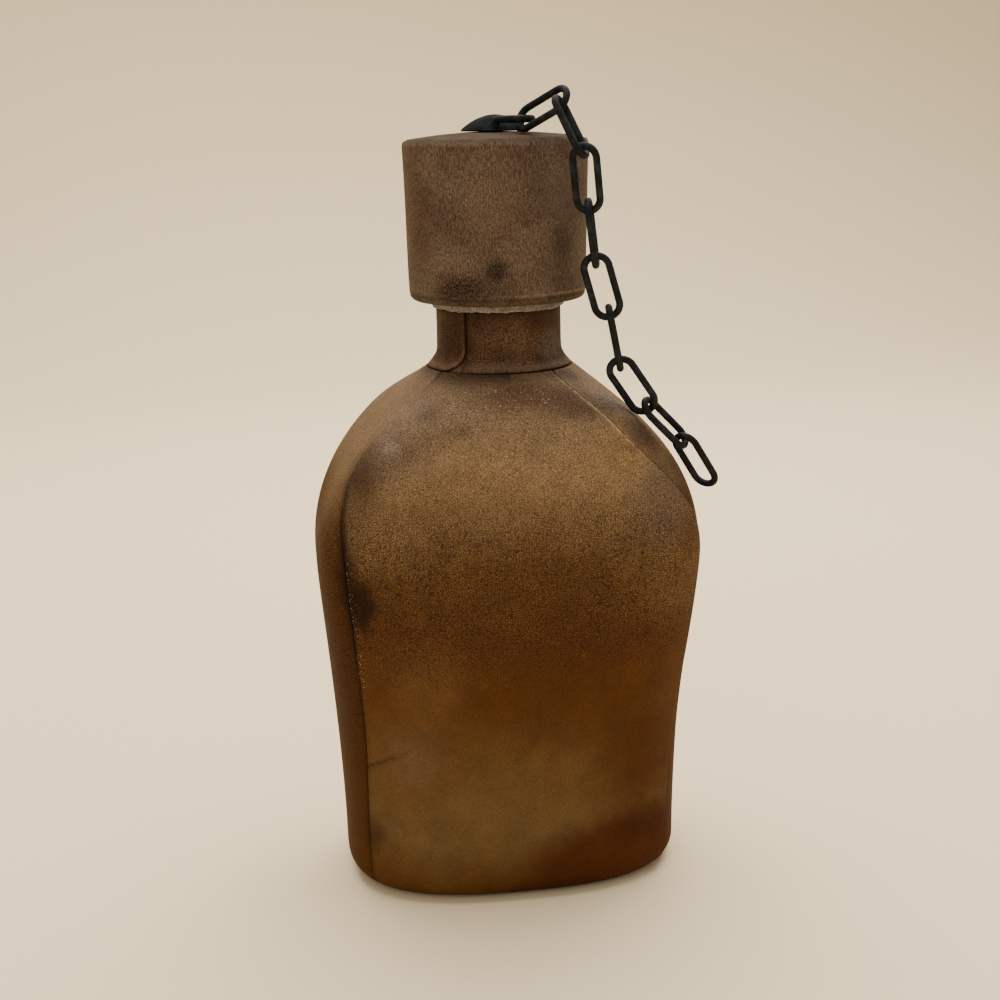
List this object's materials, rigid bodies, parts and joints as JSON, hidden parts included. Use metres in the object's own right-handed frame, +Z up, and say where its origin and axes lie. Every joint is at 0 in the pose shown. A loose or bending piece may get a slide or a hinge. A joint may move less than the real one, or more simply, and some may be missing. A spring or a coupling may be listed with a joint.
{
  "type": "leather-wrapped decanter",
  "caption": "Oval glass decanter in moulded leather panels, with a leather-covered cap on a cork stopper and a short iron chain stapled to the cap's top.",
  "frame": {"origin": "centre of the base, on the surface that the decanter stands on", "axes": "+Z up along the bottle's axis, the broad front faces -Y, +X to the right seen from the front"},
  "size_m": [0.1389, 0.0904, 0.2802],
  "materials": {
    "glass": "clear",
    "body_leather": "matte, pebbled and stained",
    "neck_leather": "matte, dark",
    "cap_leather": "matte, fibrous grain",
    "raw_leather": "raw cut",
    "cork": "matte",
    "turned_wood": "plain",
    "black_iron": "blackened, satin"
  },
  "bodies": {
    "bottle": {"glass_flask": "glass", "front_panel": "body_leather", "back_panel": "body_leather", "left_gusset": "body_leather", "right_gusset": "body_leather", "base_panel": "body_leather", "neck_collar": "neck_leather"},
    "stopper": {"stopper_cork": "cork", "stopper_washer": "raw_leather", "cap_base_disc": "raw_leather", "cap_wrap": "cap_leather", "cap_core": "turned_wood", "cap_top_disc": "cap_leather", "stud_rosette": "black_iron", "staple": "black_iron"},
    "link_1": {"chain_link_1": "black_iron"},
    "link_2": {"chain_link_2": "black_iron"},
    "link_3": {"chain_link_3": "black_iron"},
    "link_4": {"chain_link_4": "black_iron"},
    "link_5": {"chain_link_5": "black_iron"},
    "link_6": {"chain_link_6": "black_iron"},
    "link_7": {"chain_link_7": "black_iron"},
    "link_8": {"chain_link_8": "black_iron"},
    "link_9": {"chain_link_9": "black_iron"}
  },
  "joints": [
    {"name": "stopper_pull", "type": "slide", "parent": "bottle", "child": "stopper", "axis": [0, 0, 1], "range_m": [0, 0.06]},
    {"name": "link_1_swing", "type": "hinge", "parent": "stopper", "child": "link_1", "pos_m": [0.0085, -0.01472, 0.2696], "axis": [-0.866, -0.5, 0], "range_deg": [0, 60]},
    {"name": "link_2_swing", "type": "hinge", "parent": "link_1", "child": "link_2", "pos_m": [0.01809, -0.02689, 0.27309], "axis": [-0.6492, 0.319, -0.6904], "range_deg": [0, 50]},
    {"name": "link_3_swing", "type": "hinge", "parent": "link_2", "child": "link_3", "pos_m": [0.0244, -0.03342, 0.25767], "axis": [-0.5265, -0.8386, 0.1399], "range_deg": [0, 50]},
    {"name": "link_4_swing", "type": "hinge", "parent": "link_3", "child": "link_4", "pos_m": [0.02619, -0.03217, 0.2399], "axis": [0.8171, -0.575, 0.0417], "range_deg": [0, 35]},
    {"name": "link_5_swing", "type": "hinge", "parent": "link_4", "child": "link_5", "pos_m": [0.02834, -0.03179, 0.22213], "axis": [-0.2557, -0.9654, -0.0515], "range_deg": [0, 50]},
    {"name": "link_6_swing", "type": "hinge", "parent": "link_5", "child": "link_6", "pos_m": [0.03324, -0.03128, 0.20493], "axis": [-0.93, 0.2626, -0.2573], "range_deg": [-35, 35]},
    {"name": "link_7_swing", "type": "hinge", "parent": "link_6", "child": "link_7", "pos_m": [0.03664, -0.03098, 0.18736], "axis": [-0.1689, -0.9844, -0.0494], "range_deg": [0, 50]},
    {"name": "link_8_swing", "type": "hinge", "parent": "link_7", "child": "link_8", "pos_m": [0.04726, -0.03061, 0.17303], "axis": [-0.646, 0.3692, -0.6681], "range_deg": [-35, 35]},
    {"name": "link_9_swing", "type": "hinge", "parent": "link_8", "child": "link_9", "pos_m": [0.05965, -0.02952, 0.16016], "axis": [-0.3285, -0.8609, -0.3884], "range_deg": [0, 60]}
  ]
}
